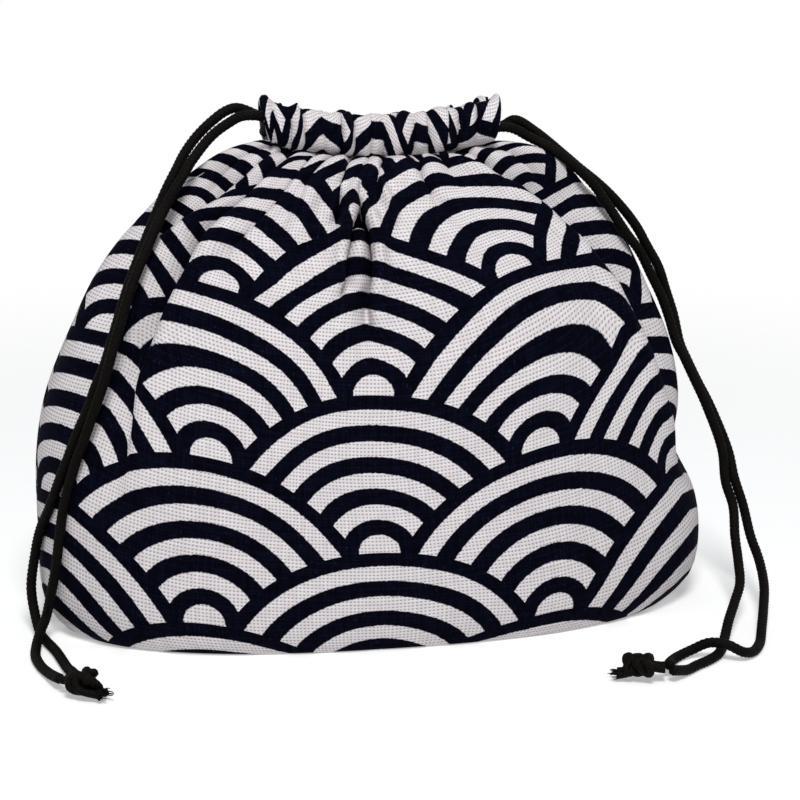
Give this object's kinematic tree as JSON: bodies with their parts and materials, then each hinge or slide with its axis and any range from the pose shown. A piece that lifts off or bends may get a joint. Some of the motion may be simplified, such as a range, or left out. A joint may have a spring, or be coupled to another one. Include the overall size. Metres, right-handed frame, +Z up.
{
  "type": "kinchaku drawstring pouch",
  "caption": "Free-standing cotton pouch with a flat base and a gathered mouth, drawn shut by a pair of cords that run through its casing and end in knots.",
  "frame": {"origin": "middle of the base, on the surface that the pouch stands on", "axes": "+Z up, +X along the mouth to the right seen from the front, -Y out of the front panel"},
  "size_m": [0.2657, 0.1571, 0.1875],
  "materials": {
    "printed_cotton": "open plain-weave cotton printed with off-white waves on deep indigo",
    "black_cord": "matt braided cord"
  },
  "bodies": {
    "root": {"front_panel": "printed_cotton", "back_panel": "printed_cotton", "drawcord_left": "black_cord", "drawcord_right": "black_cord", "knot_left": "black_cord", "knot_right": "black_cord"}
  },
  "joints": []
}
